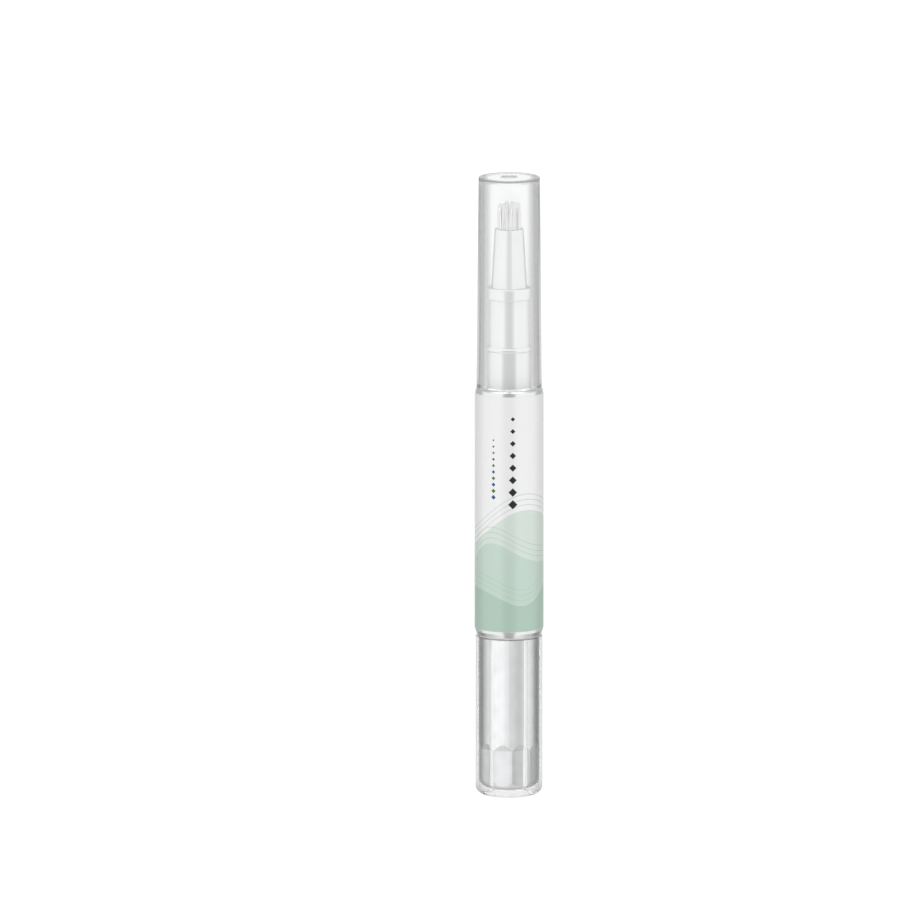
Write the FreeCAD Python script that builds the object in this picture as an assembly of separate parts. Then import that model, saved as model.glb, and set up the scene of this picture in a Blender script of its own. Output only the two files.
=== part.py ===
import FreeCAD, Part
import math
import os

# Twist-up nail oil pen, standing on the end of its knob, in millimetres.
# The pen's axis is Z. From the floor up: clear knob with a silver core, metal
# barrel with a film label, and a clear cap over the brush.
# Turning the knob clockwise, seen from its end, drives a right-hand screw
# through a fixed nut, and the screw pushes a piston up the reservoir.

V = FreeCAD.Vector

# Fits, as gaps on the radius or along the axis
press_gap = 0.02
running_gap = 0.05
thread_gap = 0.12
key_gap = 0.08
end_play = 0.10

# Barrel: a thin metal shell round a moulded reservoir, with a film label
shell_r = 6.9
shell_wall = 0.3
shell_top_chamfer = 0.25
shell_foot_taper = 0.25
shell_foot_height = 0.8
barrel_length = 50.5
label_film = 0.1
label_top_margin = 1.0
label_foot_margin = 1.3
label_seam = 0.5
liner_wall = 0.65
liner_shoulder = 1.3
liner_foot_gap = 0.05
nut_step = 0.12
lip_depth = 0.8
lip_height = 0.8

# Neck of the reservoir, which the cap grips
neck_wall = 1.0
neck_length = 8.7
neck_bead = 0.25
neck_bead_height = 0.9
neck_bead_drop = 0.15

# Brush: holder plugged into the neck, tapered ferrule, feed tube and bristles
holder_step = 0.2
holder_length = 9.6
holder_plug = 6.2
holder_passage_r = 0.8
holder_groove = 0.15
flange_chamfer = 0.15
flange_height = 2.3
flange_gap = 0.15
ferrule_length = 11.9
ferrule_step = 0.9
ferrule_wall = 0.6
ferrule_stem_r = 1.6
ferrule_stem = 8.5
feed_tube_r = 0.8
feed_tube_wall = 0.3
feed_tube_recess = 2.0
tuft_r = 2.3
tuft_depth = 6.5
tuft_root = 0.8
bristle_length = 5.5
bristle_r = 0.17
bristle_spacing = 0.46
bristle_unevenness = 0.35
bristle_wander = 2.4
bristle_sides = 6

# Cap
cap_step = 0.27
cap_wall = 1.98
cap_draft = 0.41
cap_top = 0.8
cap_headroom = 4.2
cap_top_round = 0.25
cap_inner_round = 0.25
cap_dimple_r = 2.0
cap_dimple_depth = 0.3
cap_mouth_chamfer = 0.25
cap_edge_chamfer = 0.12
cap_seat_gap = 0.1

# Knob: clear cover, silver core with keyways and a faceted foot
knob_length = 32.7
knob_running_gap = 0.3
knob_step = 0.1
knob_wall = 0.65
knob_base = 1.4
knob_base_round = 1.8
knob_rim_drop = 0.2
knob_rim_chamfer = 0.2
knob_rib_count = 5
knob_rib_width = 0.45
knob_rib_height = 0.3
knob_rib_end = 0.3
knob_rib_turn = 17.0
core_wall = 0.75
core_floor = 1.2
core_foot_round = 2.0
facet_count = 10
facet_depth = 0.27
facet_height = 8.3
facet_arch = 1.2
facet_turn = 6.0

# Drive bush, which joins the knob to the barrel and turns the screw
bush_tail = 6.0
bush_tail_wall = 1.0
bush_collar_gap = 0.3
bush_collar_height = 1.1
bush_neck_gap = 0.15
bush_flange_gap = 0.35
bush_flange_height = 1.15
spigot_wall = 0.7
drive_hole_length = 3.0
bush_tab_width = 1.6
bush_tab_height = 0.4
bush_tab_drop = 1.5

# Click ratchet between the knob and the nut
tooth_count = 12
tooth_depth = 0.35
skirt_wall = 0.55
skirt_height = 3.8
ratchet_height = 2.8
ratchet_hub_wall = 0.5
pawl_count = 2
pawl_thickness = 0.45
pawl_inset = 0.3
pawl_sweep = 84.0
pawl_tip_span = 12.0
pawl_tip_gap = 0.07

# Lead screw and piston
screw_r = 2.4
thread_depth = 0.5
thread_lead = 3.0
thread_root_width = 1.5
thread_crest_width = 0.8
thread_overlap = 0.15
screw_half_flat = 1.6
screw_floor_gap = 0.4
nut_thread_length = 4.5
screw_head_r = 1.9
screw_head_height = 1.7
screw_neck_r = 1.35
piston_length = 6.2
piston_rest_gap = 0.3
piston_lip_height = 1.1
piston_waist = 0.4
piston_crown = 0.6
socket_lip_height = 0.8
socket_lip_gap = 0.25

# Radii that follow from the sizes above
label_r = shell_r + label_film
shell_bore_r = shell_r - shell_wall
liner_r = shell_bore_r - press_gap
bore_r = liner_r - liner_wall
nut_seat_r = bore_r + nut_step
nut_r = nut_seat_r - press_gap
lip_r = nut_seat_r - lip_depth
cap_mouth_r = shell_r - cap_step
cap_top_r = cap_mouth_r - cap_draft
cap_bore_r = cap_mouth_r - cap_wall
bead_r = cap_bore_r - running_gap
neck_r = bead_r - neck_bead
neck_bore_r = neck_r - neck_wall
holder_r = neck_r - holder_step
holder_plug_r = neck_bore_r - press_gap
flange_r = cap_bore_r - flange_gap
ferrule_base_r = flange_r - ferrule_step
ferrule_tip_r = tuft_r + ferrule_wall
knob_r = shell_r - knob_step
knob_bore_r = knob_r - knob_wall
core_r = knob_bore_r - running_gap
core_bore_r = core_r - core_wall
rib_tip_r = knob_bore_r - knob_rib_height
bush_tail_r = core_bore_r - press_gap
bush_tab_r = core_bore_r + bush_tab_height
bush_collar_r = shell_bore_r - shell_foot_taper - bush_collar_gap
bush_neck_r = lip_r - bush_neck_gap
bush_flange_r = nut_seat_r - bush_flange_gap
spigot_r = screw_r + key_gap + spigot_wall
thread_root_r = screw_r - thread_depth
tooth_root_r = nut_r - skirt_wall
tooth_crest_r = tooth_root_r - tooth_depth
tooth_pitch = 360.0 / tooth_count
piston_r = bore_r - running_gap
socket_r = screw_head_r + end_play
socket_lip_r = screw_neck_r + socket_lip_gap

# Heights that follow from the sizes above
core_z = knob_base
core_floor_z = core_z + core_floor
core_top_z = knob_length - knob_rim_drop
barrel_z = knob_length + knob_running_gap
barrel_top_z = barrel_z + barrel_length
liner_z = barrel_z + shell_foot_height + liner_foot_gap
lip_top_z = liner_z + lip_height
bush_flange_z = lip_top_z + end_play
bush_flange_top_z = bush_flange_z + bush_flange_height
nut_z = bush_flange_top_z + end_play
nut_disc_z = nut_z + skirt_height
nut_top_z = nut_disc_z + nut_thread_length
bush_top_z = nut_disc_z - end_play
piston_z = nut_top_z + piston_rest_gap
piston_front_z = piston_z + piston_length
screw_z = core_floor_z + screw_floor_gap
screw_neck_z = piston_z - end_play
screw_head_z = piston_z + socket_lip_height + end_play
screw_head_top_z = screw_head_z + screw_head_height
shoulder_top_z = barrel_top_z - shell_wall
shoulder_z = shoulder_top_z - liner_shoulder
neck_top_z = barrel_top_z + neck_length
bead_top_z = neck_top_z - neck_bead_drop
flange_z = neck_top_z + holder_length
ferrule_z = flange_z + flange_height
ferrule_top_z = ferrule_z + ferrule_length
ferrule_foot_z = ferrule_z - ferrule_stem
tuft_z = ferrule_top_z - tuft_depth
bristle_top_z = ferrule_top_z + bristle_length
cap_z = barrel_top_z + cap_seat_gap
cap_inner_z = bristle_top_z + cap_headroom
cap_top_z = cap_inner_z + cap_top


def corner_arc(before, corner, after, radius):
    # Two tangent points and the middle of the arc that rounds one corner.
    back = (before - corner).normalize()
    ahead = (after - corner).normalize()
    half_turn = back.getAngle(ahead) / 2
    reach = radius / math.tan(half_turn)
    middle = (back + ahead).normalize()
    centre = corner + middle * (radius / math.sin(half_turn))
    return corner + back * reach, centre - middle * radius, corner + ahead * reach


def outline(points):
    # Closed wire of straight runs through (x, y) corners. A third value rounds a corner.
    corners = [V(p[0], p[1], 0) for p in points]
    rounds = [p[2] if len(p) > 2 else 0 for p in points]
    starts = []
    ends = []
    arcs = []
    for n, corner in enumerate(corners):
        if rounds[n]:
            a, m, b = corner_arc(corners[n - 1], corner, corners[(n + 1) % len(corners)], rounds[n])
            arcs.append(Part.Arc(a, m, b).toShape())
        else:
            a = b = corner
            arcs.append(None)
        starts.append(a)
        ends.append(b)
    edges = []
    for n in range(len(corners)):
        if arcs[n]:
            edges.append(arcs[n])
        edges.append(Part.LineSegment(ends[n], starts[(n + 1) % len(corners)]).toShape())
    return Part.Wire(edges)


def turned(points):
    # Solid of revolution about Z from an outline of (radius, height) corners.
    wire = outline(points)
    wire.rotate(V(0, 0, 0), V(1, 0, 0), 90)
    return Part.Face(wire).revolve(V(0, 0, 0), V(0, 0, 1), 360)


def prism(points, z, height):
    # Upright prism on an outline of (x, y) corners.
    wire = outline(points)
    wire.translate(V(0, 0, z))
    return Part.Face(wire).extrude(V(0, 0, height))


def rod(radius, z, top_z):
    return Part.makeCylinder(radius, top_z - z, V(0, 0, z))


def polar(radius, degrees):
    return radius * math.cos(math.radians(degrees)), radius * math.sin(math.radians(degrees))


def round_about(shape, count, first=0.0):
    # Copies of a shape, evenly spaced about the pen's axis.
    copies = []
    for n in range(count):
        one = shape.copy()
        one.rotate(V(0, 0, 0), V(0, 0, 1), first + 360.0 * n / count)
        copies.append(one)
    return copies


def thread_ridge(z, top_z, grow):
    # Right-hand trapezoid ridge. Its phase depends on height alone, so the screw and the nut mesh.
    # Its flanks run on below the root, so that it joins the shank.
    inner_r = thread_root_r - thread_overlap
    crest_r = screw_r + grow
    flank_slope = (thread_root_width - thread_crest_width) / (2 * thread_depth)
    crest_half = thread_crest_width / 2 + grow
    inner_half = crest_half + flank_slope * (thread_depth + thread_overlap)
    section = Part.makePolygon([
        V(inner_r, 0, -inner_half),
        V(crest_r, 0, -crest_half),
        V(crest_r, 0, crest_half),
        V(inner_r, 0, inner_half),
        V(inner_r, 0, -inner_half),
    ])
    helix = Part.makeHelix(thread_lead, top_z - z, thread_root_r)
    ridge = Part.Wire(helix).makePipeShell([section], True, True)
    ridge.translate(V(0, 0, z))
    ridge.rotate(V(0, 0, 0), V(0, 0, 1), 360.0 * z / thread_lead)
    return ridge


def make_barrel_shell():
    # Drawn sleeve with a turned-in top lip for the cap to sit on and a tapered foot.
    lip_bore_r = bead_r + running_gap
    foot_r = shell_r - shell_foot_taper
    taper_top_z = barrel_z + shell_foot_height
    return turned([
        (foot_r, barrel_z),
        (shell_r, taper_top_z),
        (shell_r, barrel_top_z - shell_top_chamfer),
        (shell_r - shell_top_chamfer, barrel_top_z),
        (lip_bore_r, barrel_top_z),
        (lip_bore_r, shoulder_top_z),
        (shell_bore_r, shoulder_top_z),
        (shell_bore_r, taper_top_z),
        (foot_r - shell_wall, barrel_z),
    ])


def make_label():
    # Film wrapped round the shell, with the butt seam at the back.
    z = barrel_z + label_foot_margin
    height = barrel_top_z - label_top_margin - z
    wrap = turned([
        (shell_r, z),
        (label_r, z),
        (label_r, z + height),
        (shell_r, z + height),
    ])
    seam = Part.makeBox(label_seam, 2 * label_film + shell_wall, height)
    seam.translate(V(-label_seam / 2, shell_r - shell_wall, z))
    return wrap.cut(seam)


def make_reservoir_liner():
    # Moulded reservoir: snap lip and nut seat at the rear, smooth bore, shoulder and beaded neck.
    bead_z = bead_top_z - neck_bead_height
    bead_ramp = neck_bead
    return turned([
        (lip_r, liner_z),
        (liner_r, liner_z),
        (liner_r, shoulder_top_z),
        (neck_r, shoulder_top_z),
        (neck_r, bead_z),
        (bead_r, bead_z + bead_ramp),
        (bead_r, bead_top_z - bead_ramp),
        (neck_r, bead_top_z),
        (neck_r, neck_top_z),
        (neck_bore_r, neck_top_z),
        (neck_bore_r, shoulder_z),
        (bore_r, shoulder_z),
        (bore_r, nut_top_z),
        (nut_seat_r, nut_top_z),
        (nut_seat_r, lip_top_z),
        (lip_r, lip_top_z),
    ])


def make_brush_holder():
    # Plug with two sealing lands, plain body, flange, and a socket for the ferrule's stem.
    plug_z = neck_top_z - holder_plug
    land = holder_plug / 5
    socket_r = ferrule_stem_r + press_gap
    groove_r = holder_plug_r - holder_groove
    return turned([
        (holder_passage_r, plug_z),
        (holder_plug_r - holder_groove, plug_z),
        (holder_plug_r, plug_z + holder_groove),
        (holder_plug_r, plug_z + land),
        (groove_r, plug_z + land),
        (groove_r, plug_z + 2 * land),
        (holder_plug_r, plug_z + 2 * land),
        (holder_plug_r, plug_z + 3 * land),
        (groove_r, plug_z + 3 * land),
        (groove_r, plug_z + 4 * land),
        (holder_plug_r, plug_z + 4 * land),
        (holder_plug_r, neck_top_z),
        (holder_r, neck_top_z),
        (holder_r, flange_z),
        (flange_r - flange_chamfer, flange_z),
        (flange_r, flange_z + flange_chamfer),
        (flange_r, ferrule_z - flange_chamfer),
        (flange_r - flange_chamfer, ferrule_z),
        (socket_r, ferrule_z),
        (socket_r, ferrule_foot_z),
        (holder_passage_r, ferrule_foot_z),
    ])


def make_brush_ferrule():
    # Tapered nozzle that grips the tuft, with a stem for the holder and a bore for the feed tube.
    tube_bore_r = feed_tube_r + press_gap
    tuft_bore_r = tuft_r + press_gap
    return turned([
        (tube_bore_r, ferrule_foot_z),
        (ferrule_stem_r, ferrule_foot_z),
        (ferrule_stem_r, ferrule_z),
        (ferrule_base_r, ferrule_z),
        (ferrule_tip_r, ferrule_top_z),
        (tuft_bore_r, ferrule_top_z),
        (tuft_bore_r, tuft_z),
        (tube_bore_r, tuft_z),
    ])


def make_feed_tube():
    # Fine tube that carries oil from the holder into the middle of the tuft.
    top_z = ferrule_top_z - feed_tube_recess
    tube = rod(feed_tube_r, ferrule_foot_z, top_z)
    return tube.cut(rod(feed_tube_r - feed_tube_wall, ferrule_foot_z, top_z))


def make_bristle_tuft():
    # Nylon filaments in rings round the feed tube, fused into a root disc.
    root_top_z = tuft_z + tuft_root
    tube_hole_r = feed_tube_r + press_gap
    disc = rod(tuft_r, tuft_z, root_top_z).cut(rod(tube_hole_r, tuft_z, root_top_z))
    ring_r = tube_hole_r + bristle_r + key_gap
    filaments = []
    while ring_r + bristle_r < tuft_r:
        ring_count = int(2 * math.pi * ring_r / bristle_spacing)
        for n in range(ring_count):
            x, y = polar(ring_r, 360.0 * n / ring_count)
            drop = bristle_unevenness * (1 + math.sin(bristle_wander * len(filaments))) / 2
            filaments.append(make_bristle(x, y, tuft_z + tuft_root / 2, bristle_top_z - drop))
        ring_r += bristle_spacing
    return disc.multiFuse(filaments).removeSplitter()


def make_bristle(x, y, foot_z, tip_z):
    # One filament, with few sides because there are many of them.
    sides = []
    for n in range(bristle_sides):
        dx, dy = polar(bristle_r, 360.0 * n / bristle_sides)
        sides.append((x + dx, y + dy))
    return prism(sides, foot_z, tip_z - foot_z)


def make_cap():
    # Heavy-walled clear cap with draft outside, a straight bore and a gate dimple on top.
    return turned([
        (0, cap_inner_z),
        (cap_bore_r, cap_inner_z, cap_inner_round),
        (cap_bore_r, cap_z + cap_mouth_chamfer),
        (cap_bore_r + cap_mouth_chamfer, cap_z),
        (cap_mouth_r - cap_edge_chamfer, cap_z),
        (cap_mouth_r, cap_z + cap_edge_chamfer),
        (cap_top_r, cap_top_z, cap_top_round),
        (cap_dimple_r, cap_top_z),
        (cap_dimple_r - cap_dimple_depth, cap_top_z - cap_dimple_depth),
        (0, cap_top_z - cap_dimple_depth),
    ])


def make_knob_cover():
    # Clear cup with a thick base, rounded inside and out, and longitudinal ribs that key the core.
    cup = turned([
        (0, 0),
        (knob_r, 0, knob_base_round),
        (knob_r, knob_length - knob_rim_chamfer),
        (knob_r - knob_rim_chamfer, knob_length),
        (knob_bore_r, knob_length),
        (knob_bore_r, knob_base, core_foot_round),
        (0, knob_base),
    ])
    rib_height = core_top_z - knob_rib_end - knob_base
    rib = Part.makeBox(knob_wall / 2 + knob_rib_height, knob_rib_width, rib_height)
    rib.translate(V(rib_tip_r, -knob_rib_width / 2, knob_base))
    return cup.fuse(round_about(rib, knob_rib_count, knob_rib_turn)).removeSplitter()


def make_knob_core():
    # Silver sleeve, closed at a rounded foot, with keyways, facets and two notches inside its rim.
    cup = turned([
        (0, core_z),
        (core_r, core_z, core_foot_round),
        (core_r, core_top_z),
        (core_bore_r, core_top_z),
        (core_bore_r, core_floor_z),
        (0, core_floor_z),
    ])
    keyway_floor_r = rib_tip_r - running_gap
    keyway_width = knob_rib_width + 2 * running_gap
    keyway_height = core_top_z - core_z
    keyway = Part.makeBox(core_wall + knob_wall, keyway_width, keyway_height)
    keyway.translate(V(keyway_floor_r, -keyway_width / 2, core_z))
    # Each facet runs out upwards in an arch, where its sloping end leaves the round wall.
    facet_r = core_r - facet_depth
    beyond_r = core_r + knob_wall
    run_out = facet_arch / facet_depth
    half_width = core_r
    side = Part.makePolygon([
        V(facet_r, -half_width, core_z),
        V(beyond_r, -half_width, core_z),
        V(beyond_r, -half_width, core_z + facet_height + run_out * (beyond_r - facet_r)),
        V(facet_r, -half_width, core_z + facet_height),
        V(facet_r, -half_width, core_z),
    ])
    facet = Part.Face(side).extrude(V(0, 2 * half_width, 0))
    notch_width = bush_tab_width + 2 * running_gap
    notch = bush_tab_bar(notch_width, bush_tab_drop + running_gap, bush_tab_r + running_gap)
    cuts = round_about(keyway, knob_rib_count, knob_rib_turn)
    cuts += round_about(facet, facet_count, facet_turn)
    return cup.cut(cuts + [notch]).removeSplitter()


def bush_tab_bar(width, drop, reach_r):
    # Bar across the core's bore, from which the two drive tabs and their notches are made.
    # Both of its ends lie midway between keyways when the number of keyways is odd.
    bar = Part.makeBox(2 * core_r, width, drop)
    bar.translate(V(-core_r, -width / 2, core_top_z - drop))
    bar.rotate(V(0, 0, 0), V(0, 0, 1), knob_rib_turn + 90.0 / knob_rib_count)
    return bar.common(rod(reach_r, core_top_z - drop, core_top_z))


def make_drive_bush():
    # Tail pressed into the core, collar with two tabs, snap flange behind the liner's lip, drive spigot.
    clear_r = screw_r + 2 * key_gap
    tail_z = core_top_z - bush_tail
    collar_top_z = core_top_z + bush_collar_height
    hole_z = bush_top_z - drive_hole_length
    tail_bore_r = bush_tail_r - bush_tail_wall
    bush = turned([
        (tail_bore_r, tail_z),
        (bush_tail_r, tail_z),
        (bush_tail_r, core_top_z),
        (bush_collar_r, core_top_z),
        (bush_collar_r, collar_top_z),
        (bush_neck_r, collar_top_z),
        (bush_neck_r, bush_flange_z),
        (bush_flange_r, bush_flange_z),
        (bush_flange_r, bush_flange_top_z - bush_flange_height / 2),
        (bush_neck_r, bush_flange_top_z),
        (spigot_r, bush_flange_top_z),
        (spigot_r, bush_top_z),
        (0, bush_top_z),
        (0, hole_z),
        (clear_r, hole_z),
        (clear_r, core_top_z),
        (tail_bore_r, core_top_z),
    ])
    hole = rod(screw_r + key_gap, hole_z, bush_top_z).common(flat_slab(hole_z, bush_top_z, key_gap))
    tabs = bush_tab_bar(bush_tab_width, bush_tab_drop, bush_tab_r)
    tabs = tabs.cut(rod(bush_tail_r - bush_tail_wall / 2, core_top_z - bush_tab_drop, core_top_z))
    return bush.cut(hole).fuse(tabs).removeSplitter()


def flat_slab(z, top_z, grow):
    # Slab between the screw's two flats, wider than its thread.
    half_flat = screw_half_flat + grow
    slab = Part.makeBox(4 * screw_r, 2 * half_flat, top_z - z)
    slab.translate(V(-2 * screw_r, -half_flat, z))
    return slab


def make_lead_screw():
    # Threaded bar with two flats, ending in a snap head that turns inside the piston.
    shank = rod(thread_root_r, screw_z, screw_neck_z)
    ridge = thread_ridge(screw_z, screw_neck_z - thread_root_width, 0)
    bar = shank.fuse(ridge).common(flat_slab(screw_z, screw_neck_z, 0))
    head = turned([
        (0, screw_neck_z - thread_depth),
        (screw_neck_r, screw_neck_z - thread_depth),
        (screw_neck_r, screw_head_z),
        (screw_head_r, screw_head_z),
        (screw_head_r, screw_head_top_z - screw_head_height / 2),
        (screw_neck_r, screw_head_top_z),
        (0, screw_head_top_z),
    ])
    return bar.fuse(head).removeSplitter()


def make_thread_nut():
    # Disc with the drive thread, and a skirt with sawtooth ratchet teeth inside.
    tap = rod(thread_root_r + thread_gap, nut_disc_z - 2 * thread_lead, nut_top_z + 2 * thread_lead)
    tap = tap.fuse(thread_ridge(nut_disc_z - thread_lead, nut_top_z + thread_lead, thread_gap))
    disc = rod(nut_r, nut_disc_z, nut_top_z).cut(tap)
    # The gap narrows as the pawl turns forward, then steps out, which is the click.
    teeth = []
    for n in range(tooth_count):
        teeth.append(polar(tooth_root_r, n * tooth_pitch))
        teeth.append(polar(tooth_crest_r, (n + 1) * tooth_pitch))
    skirt = rod(nut_r, nut_z, nut_disc_z).cut(prism(teeth, nut_z, skirt_height))
    return disc.fuse(skirt).removeSplitter()


def ramp_r(degrees):
    # Radius of a tooth's straight ramp at an angle past its step.
    done = math.radians(degrees)
    left = math.radians(tooth_pitch) - done
    whole = tooth_root_r * tooth_crest_r * math.sin(done + left)
    return whole / (tooth_root_r * math.sin(done) + tooth_crest_r * math.sin(left))


def make_ratchet_ring():
    # Hub on the bush's spigot with spring pawls that trail behind their roots.
    z = bush_flange_top_z
    top_z = z + ratchet_height
    hub_r = spigot_r + press_gap
    arm_outer_r = tooth_crest_r - pawl_inset
    arm_inner_r = arm_outer_r - pawl_thickness
    tip_start = math.degrees(pawl_tip_gap / tooth_root_r)
    tip_end = tip_start + pawl_tip_span
    band = rod(arm_outer_r, z, top_z).cut(rod(arm_inner_r, z, top_z))
    reach_r = 2 * tooth_root_r
    sector = [(0, 0), polar(reach_r, tip_start), polar(reach_r, pawl_sweep / 2), polar(reach_r, pawl_sweep)]
    arm = band.common(prism(sector, z, ratchet_height))
    tip = prism([
        polar(arm_inner_r, tip_start),
        polar(ramp_r(tip_start) - pawl_tip_gap, tip_start),
        polar(ramp_r(tip_end) - pawl_tip_gap, tip_end),
        polar(arm_inner_r, tip_end),
    ], z, ratchet_height)
    root = Part.makeBox(arm_outer_r - hub_r, 2 * pawl_thickness, ratchet_height)
    root.translate(V(hub_r, -pawl_thickness, z))
    root.rotate(V(0, 0, 0), V(0, 0, 1), pawl_sweep)
    root = root.common(rod(arm_outer_r, z, top_z))
    pawl = arm.fuse([tip, root])
    ring = rod(hub_r + ratchet_hub_wall, z, top_z).fuse(round_about(pawl, pawl_count))
    return ring.cut(rod(hub_r, z, top_z)).removeSplitter()


def make_piston():
    # Soft plunger with a wiping lip at each end and a snap socket for the screw's head.
    waist_r = piston_r - piston_waist
    socket_top_z = screw_head_top_z + end_play
    socket_z = piston_z + socket_lip_height
    return turned([
        (socket_lip_r, piston_z),
        (piston_r, piston_z),
        (piston_r, piston_z + piston_lip_height),
        (waist_r, piston_z + piston_lip_height + piston_waist),
        (waist_r, piston_front_z - piston_lip_height - piston_waist),
        (piston_r, piston_front_z - piston_lip_height),
        (piston_r, piston_front_z - piston_crown),
        (waist_r - piston_lip_height, piston_front_z),
        (0, piston_front_z),
        (0, socket_top_z),
        (socket_r, socket_top_z),
        (socket_r, socket_z),
        (socket_lip_r, socket_z),
    ])


makers = {
    "cap": make_cap,
    "bristle_tuft": make_bristle_tuft,
    "feed_tube": make_feed_tube,
    "brush_ferrule": make_brush_ferrule,
    "brush_holder": make_brush_holder,
    "reservoir_liner": make_reservoir_liner,
    "barrel_shell": make_barrel_shell,
    "label": make_label,
    "piston": make_piston,
    "lead_screw": make_lead_screw,
    "thread_nut": make_thread_nut,
    "ratchet_ring": make_ratchet_ring,
    "drive_bush": make_drive_bush,
    "knob_core": make_knob_core,
    "knob_cover": make_knob_cover,
}

os.makedirs("parts", exist_ok=True)
for name, make in makers.items():
    shape = make()
    shape.exportStep(os.path.join("parts", name + ".step"))
    print(name, len(shape.Solids), shape.isValid(), round(shape.Volume, 3))
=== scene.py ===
import math
import random

import bmesh
import bpy
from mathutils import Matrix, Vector


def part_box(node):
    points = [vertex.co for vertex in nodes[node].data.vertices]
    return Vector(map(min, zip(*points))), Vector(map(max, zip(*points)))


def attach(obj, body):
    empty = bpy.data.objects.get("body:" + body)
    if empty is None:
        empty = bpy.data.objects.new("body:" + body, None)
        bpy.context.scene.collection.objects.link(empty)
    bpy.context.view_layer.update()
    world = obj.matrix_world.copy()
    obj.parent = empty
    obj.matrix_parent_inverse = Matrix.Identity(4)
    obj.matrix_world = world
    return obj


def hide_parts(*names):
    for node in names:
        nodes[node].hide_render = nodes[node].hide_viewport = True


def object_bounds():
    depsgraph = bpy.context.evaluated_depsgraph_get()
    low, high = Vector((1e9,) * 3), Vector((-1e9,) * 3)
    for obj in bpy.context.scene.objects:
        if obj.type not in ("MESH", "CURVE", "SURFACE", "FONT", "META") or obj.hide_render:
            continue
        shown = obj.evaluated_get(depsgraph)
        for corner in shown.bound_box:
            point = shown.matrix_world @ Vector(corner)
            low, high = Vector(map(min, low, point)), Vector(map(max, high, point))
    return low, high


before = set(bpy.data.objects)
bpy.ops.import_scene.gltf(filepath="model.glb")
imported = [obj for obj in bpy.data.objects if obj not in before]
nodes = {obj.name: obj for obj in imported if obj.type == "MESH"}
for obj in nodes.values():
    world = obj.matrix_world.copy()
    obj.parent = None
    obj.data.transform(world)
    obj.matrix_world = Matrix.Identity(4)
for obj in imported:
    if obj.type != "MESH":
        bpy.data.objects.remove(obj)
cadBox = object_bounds()
mm = 0.001


def spanOf(node):
    # lowest and highest point of a node in mm
    return [corner.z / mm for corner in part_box(node)]


def grey(level):
    return (level, level, level, 1)


capTop = cadBox[1].z / mm
coreFoot, coreTop = spanOf("knob_core")
labelFoot, labelTop = spanOf("label")
white, black = grey(1), grey(0)
print("frame loaded:", len(nodes), "nodes")


# Small helpers for node trees

def joinTo(tree, socket, value):
    if isinstance(value, bpy.types.NodeSocket):
        tree.links.new(value, socket)
    else:
        socket.default_value = value


def calc(tree, operation, *values):
    node = tree.nodes.new("ShaderNodeMath")
    node.operation = operation
    for socket, value in zip(node.inputs, values):
        joinTo(tree, socket, value)
    return node.outputs[0]


def spread(tree, value, fromLow, fromHigh, toLow, toHigh, smooth=False):
    node = tree.nodes.new("ShaderNodeMapRange")
    if smooth:
        node.interpolation_type = "SMOOTHSTEP"
    for name, number in (("Value", value), ("From Min", fromLow), ("From Max", fromHigh),
                         ("To Min", toLow), ("To Max", toHigh)):
        joinTo(tree, node.inputs[name], number)
    return node.outputs["Result"]


def noise(tree, vector, scale, detail=2.0, kind="3D"):
    node = tree.nodes.new("ShaderNodeTexNoise")
    node.noise_dimensions = kind
    joinTo(tree, node.inputs["W" if kind == "1D" else "Vector"], vector)
    joinTo(tree, node.inputs["Scale"], scale)
    node.inputs["Detail"].default_value = detail
    return node.outputs["Fac"]


def mixColors(tree, share, first, second):
    node = tree.nodes.new("ShaderNodeMix")
    node.data_type = "RGBA"
    joinTo(tree, node.inputs["Factor"], share)
    joinTo(tree, node.inputs[6], first)  # sockets 6, 7 and 2 are the colour ones
    joinTo(tree, node.inputs[7], second)
    return node.outputs[2]


def levelRamp(tree, share, stops):
    ramp = tree.nodes.new("ShaderNodeValToRGB")
    joinTo(tree, ramp.inputs[0], share)
    ramp.color_ramp.interpolation = "EASE"
    elements = ramp.color_ramp.elements
    while len(elements) < len(stops):
        elements.new(0.5)
    for element, (position, level) in zip(elements, stops):
        element.position = position
        element.color = grey(level)
    return ramp.outputs["Color"]


def newGroup(name, inputs, outputs):
    group = bpy.data.node_groups.new(name, "ShaderNodeTree")
    for label, value in inputs.items():
        socket = group.interface.new_socket(label, in_out="INPUT", socket_type="NodeSocketFloat")
        socket.default_value = value
    for label in outputs:
        kind = "NodeSocketVector" if label == "Point" else "NodeSocketFloat"
        group.interface.new_socket(label, in_out="OUTPUT", socket_type=kind)
    return group, group.nodes.new("NodeGroupInput").outputs, group.nodes.new("NodeGroupOutput").inputs


def place(tree, group, **values):
    node = tree.nodes.new("ShaderNodeGroup")
    node.node_tree = group
    for label, value in values.items():
        joinTo(tree, node.inputs[label], value)
    return node.outputs


# Shared effects

def makePenPlace():
    # where a point is on the pen: turn from the front in radians, height and radius in mm
    group, _, leave = newGroup("penPlace", {}, ["Turn", "Height", "Radius", "Point"])
    coords = group.nodes.new("ShaderNodeTexCoord")
    inMm = group.nodes.new("ShaderNodeVectorMath")
    inMm.operation = "SCALE"
    inMm.inputs["Scale"].default_value = 1 / mm
    group.links.new(coords.outputs["Object"], inMm.inputs[0])
    parts = group.nodes.new("ShaderNodeSeparateXYZ")
    group.links.new(inMm.outputs[0], parts.inputs[0])
    x, y, z = parts.outputs
    front = calc(group, "MULTIPLY", y, -1)
    joinTo(group, leave["Turn"], calc(group, "ARCTAN2", x, front))
    joinTo(group, leave["Height"], z)
    squares = calc(group, "ADD", calc(group, "MULTIPLY", x, x), calc(group, "MULTIPLY", y, y))
    joinTo(group, leave["Radius"], calc(group, "SQRT", squares))
    joinTo(group, leave["Point"], inMm.outputs[0])
    return group


skinLook = {"fineShare": 0.6, "broadShare": 0.4, "mottle": (0.3, 0.7)}


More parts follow.
